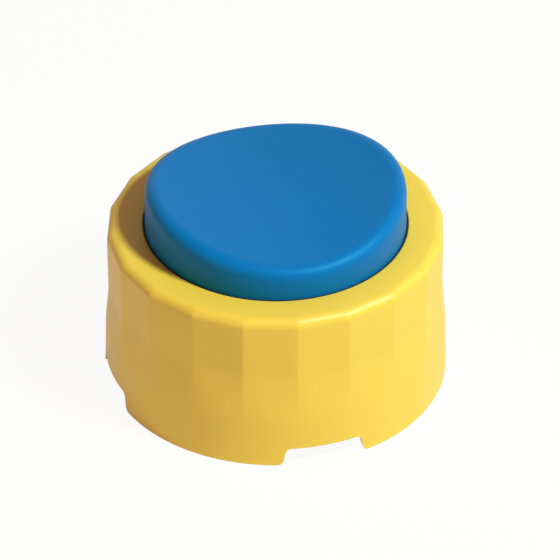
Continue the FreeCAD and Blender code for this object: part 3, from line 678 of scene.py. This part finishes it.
class Value:
    """A socket that can stand in a Python expression, which adds the Math nodes."""

    def __init__(self, nodes, socket):
        self.nodes = nodes
        self.socket = socket

    def __add__(self, other):
        return self.nodes.maths("ADD", self, other)

    def __radd__(self, other):
        return self.nodes.maths("ADD", other, self)

    def __sub__(self, other):
        return self.nodes.maths("SUBTRACT", self, other)

    def __rsub__(self, other):
        return self.nodes.maths("SUBTRACT", other, self)

    def __mul__(self, other):
        return self.nodes.maths("MULTIPLY", self, other)

    def __rmul__(self, other):
        return self.nodes.maths("MULTIPLY", other, self)


class Nodes:
    """The nodes of one material or of the world, added one at a time."""

    def __init__(self, owner):
        owner.use_nodes = True
        self.tree = owner.node_tree
        self.tree.nodes.clear()

    def node(self, kind, settings=(), sockets=(), output=0):
        """Adds a node of any type. Its settings are set first, then its sockets' values or links."""
        node = self.tree.nodes.new(kind)
        for name, setting in dict(settings).items():
            setattr(node, name, setting)
        for name, given in dict(sockets).items():
            if isinstance(given, Value):
                self.tree.links.new(given.socket, node.inputs[name])
            else:
                node.inputs[name].default_value = given
        return Value(self, node.outputs[output]) if node.outputs else None

    def maths(self, operation, first, second):
        return self.node("ShaderNodeMath", {"operation": operation}, {0: first, 1: second})

    def place(self, stretch=EVEN):
        """Where a point is on its piece, in metres, stretched along each axis."""
        position = self.node("ShaderNodeTexCoord", output="Object")
        sockets = {"Vector": position, "Scale": stretch}
        return self.node("ShaderNodeMapping", {"vector_type": "POINT"}, sockets)

    def noise(self, place, size, detail=PLAIN_DETAIL):
        """Soft noise from 0 to 1, in patches of about a size."""
        sockets = {"Vector": place, "Scale": 1.0 / size, "Detail": detail}
        return self.node("ShaderNodeTexNoise", sockets=sockets)

    def spots(self, place, size):
        """The distance to the nearest of many scattered points, as a share of their spacing."""
        return self.node("ShaderNodeTexVoronoi", sockets={"Vector": place, "Scale": 1.0 / size})

    def mix(self, factor, first, second):
        """A colour between two others."""
        sockets = {MIX_FACTOR: factor, MIX_FIRST: first, MIX_SECOND: second}
        return self.node("ShaderNodeMix", {"data_type": "RGBA"}, sockets, MIX_RESULT)

    def bump(self, height, depth):
        return self.node("ShaderNodeBump", sockets={"Height": height, "Distance": depth})

    def surface(self, **looks):
        """The Principled shader, its sockets given by name with _ for a space."""
        sockets = {name.replace("_", " "): given for name, given in looks.items()}
        shader = self.node("ShaderNodeBsdfPrincipled", sockets=sockets)
        self.node("ShaderNodeOutputMaterial", sockets={"Surface": shader})


def toned(colour, share):
    """A colour made lighter or darker by a share."""
    return tuple(min(1.0, channel * (1.0 + share)) for channel in colour) + (1.0,)


def moulded_plastic(name, colour, roughness, grain, tone=FLOW_TONE, shine=PLASTIC_SHINE, tint=WHITE):
    """Plastic with the mould's fine grain, and faint clouds of tone and gloss from the melt's flow."""
    material = bpy.data.materials.new(name)
    nodes = Nodes(material)
    place = nodes.place()
    grain_size, grain_depth = grain
    clouds = nodes.noise(place, FLOW_SIZE)
    grains = nodes.noise(place, grain_size)
    waves = nodes.noise(place, WAVE_SIZE)
    relief = grains * grain_depth + waves * WAVE_DEPTH
    gloss = (clouds - NOISE_MIDDLE) * FLOW_GLOSS + (grains - NOISE_MIDDLE) * GRAIN_GLOSS
    nodes.surface(
        Base_Color=nodes.mix(clouds, toned(colour, -tone), toned(colour, tone)),
        Roughness=roughness + gloss,
        Normal=nodes.bump(relief, 1.0),
        Specular_IOR_Level=shine,
        Specular_Tint=tint,
    )
    return material


def rubber(name, colour):
    """Moulded rubber: dull, with a powdery bloom in patches and a fine pitted skin."""
    material = bpy.data.materials.new(name)
    nodes = Nodes(material)
    place = nodes.place()
    bloom = nodes.noise(place, BLOOM_SIZE, FINE_DETAIL)
    pits = nodes.spots(place, PIT_SIZE)
    dark, pale = [toned(colour, share) for share in BLOOM_TONES]
    nodes.surface(
        Base_Color=nodes.mix(bloom, dark, pale),
        Roughness=RUBBER_ROUGHNESS + bloom * BLOOM_ROUGHNESS,
        Normal=nodes.bump(pits, PIT_DEPTH),
        Specular_IOR_Level=RUBBER_SHINE,
    )
    return material


def metal(name, colour, roughness, marks, stretch):
    """Metal with fine marks, which are long on the axes where the stretch is under 1."""
    material = bpy.data.materials.new(name)
    nodes = Nodes(material)
    mark_size, mark_depth = marks
    clouds = nodes.noise(nodes.place(), TARNISH_SIZE, FINE_DETAIL)
    scratches = nodes.noise(nodes.place(stretch), mark_size, MARK_DETAIL)
    dark, pale = [toned(colour, share) for share in TARNISH_TONES]
    wear = (clouds - NOISE_MIDDLE) * TARNISH_ROUGHNESS + (scratches - NOISE_MIDDLE) * MARK_ROUGHNESS
    nodes.surface(
        Base_Color=nodes.mix(clouds, dark, pale),
        Metallic=1.0,
        Roughness=roughness + wear,
        Normal=nodes.bump(scratches, mark_depth),
    )
    return material


def make_finishes():
    """One finish for each of the record's material slots."""
    finishes = {}
    for make, rows in ((moulded_plastic, PLASTICS), (rubber, RUBBERS), (metal, METALS)):
        for name, looks in rows.items():
            finishes[name] = make(name, **looks)
    return finishes


def dress(piece, material):
    """Puts a finish in each of a piece's slots."""
    if not piece.material_slots:
        piece.data.materials.append(material)
    for place in piece.material_slots:
        place.material = material


# The studio

def seen(nodes):
    """1 where a ray comes from the camera, a reflection or clear material, and 0 where it gathers light."""
    camera = nodes.node("ShaderNodeLightPath", output="Is Camera Ray")
    glossy = nodes.node("ShaderNodeLightPath", output="Is Glossy Ray")
    through = nodes.node("ShaderNodeLightPath", output="Is Transmission Ray")
    return camera + glossy + through


def make_world():
    """White where it is seen, and a weaker even light on the object."""
    world = bpy.data.worlds.new("studio")
    bpy.context.scene.world = world
    nodes = Nodes(world)
    colour = nodes.mix(seen(nodes), AMBIENT + (1.0,), WHITE)
    background = nodes.node("ShaderNodeBackground", sockets={"Color": colour, "Strength": 1.0})
    nodes.node("ShaderNodeOutputWorld", sockets={"Surface": background})


def make_floor():
    """A plain white floor that keeps part of the object's shadow."""
    bpy.ops.object.select_all(action="DESELECT")
    bpy.ops.mesh.primitive_plane_add(size=FLOOR_SIZE)
    floor = added("floor")
    material = bpy.data.materials.new("floor")
    nodes = Nodes(material)
    lit = nodes.node("ShaderNodeBsdfDiffuse", sockets={"Color": FLOOR_COLOUR})
    glow = nodes.node("ShaderNodeEmission", sockets={"Color": WHITE})
    blend = nodes.node("ShaderNodeMixShader", sockets={0: seen(nodes) * FLOOR_GLOW, 1: lit, 2: glow})
    nodes.node("ShaderNodeOutputMaterial", sockets={"Surface": blend})
    dress(floor, material)


def from_object(turn, rise, distance):
    """A place at a distance from the point that the studio looks at."""
    across = math.cos(math.radians(rise)) * distance
    height = math.sin(math.radians(rise)) * distance
    angle = math.radians(turn)
    return AIM + Vector((math.sin(angle) * across, -math.cos(angle) * across, height))


def turned_to_object(place):
    return (place - AIM).to_track_quat("Z", "Y").to_euler()


def lamp(name, turn, rise, size, watts, colour):
    place = from_object(turn, rise, LAMP_DISTANCE)
    bpy.ops.object.light_add(type="AREA", location=place)
    light = bpy.context.object
    light.name = name
    light.rotation_euler = turned_to_object(place)
    light.data.shape = "DISK"
    light.data.size = size
    light.data.energy = watts
    light.data.color = colour
    light.visible_camera = False


def make_camera():
    place = from_object(CAMERA_TURN, CAMERA_RISE, CAMERA_DISTANCE)
    bpy.ops.object.camera_add(location=place, rotation=turned_to_object(place))
    camera = bpy.context.object
    camera.data.lens = CAMERA_LENS
    camera.data.shift_x = CAMERA_SHIFT_X
    camera.data.shift_y = CAMERA_SHIFT_Y
    camera.data.clip_start = CLIP_START
    bpy.context.scene.camera = camera


def main():
    make_camera()
    finishes = make_finishes()
    for row in frame["record"]["subparts"]:
        dress(frame["nodes"][row["node"]], finishes[row["material_slot"]])
    for piece, body, node, slot in (
        (housing(), "housing", "housing_shell", "yellow_plastic"),
        (push_cap(), "cap", "push_cap", "blue_plastic"),
        (wiper_seal(), "housing", "wiper_seal", "black_rubber"),
    ):
        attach(piece, body)
        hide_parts(node)
        dress(piece, finishes[slot])
    let_spring_shorten()
    make_world()
    make_floor()
    for name, settings in LAMPS.items():
        lamp(name, **settings)
    bpy.context.scene.view_settings.view_transform = "Standard"


main()
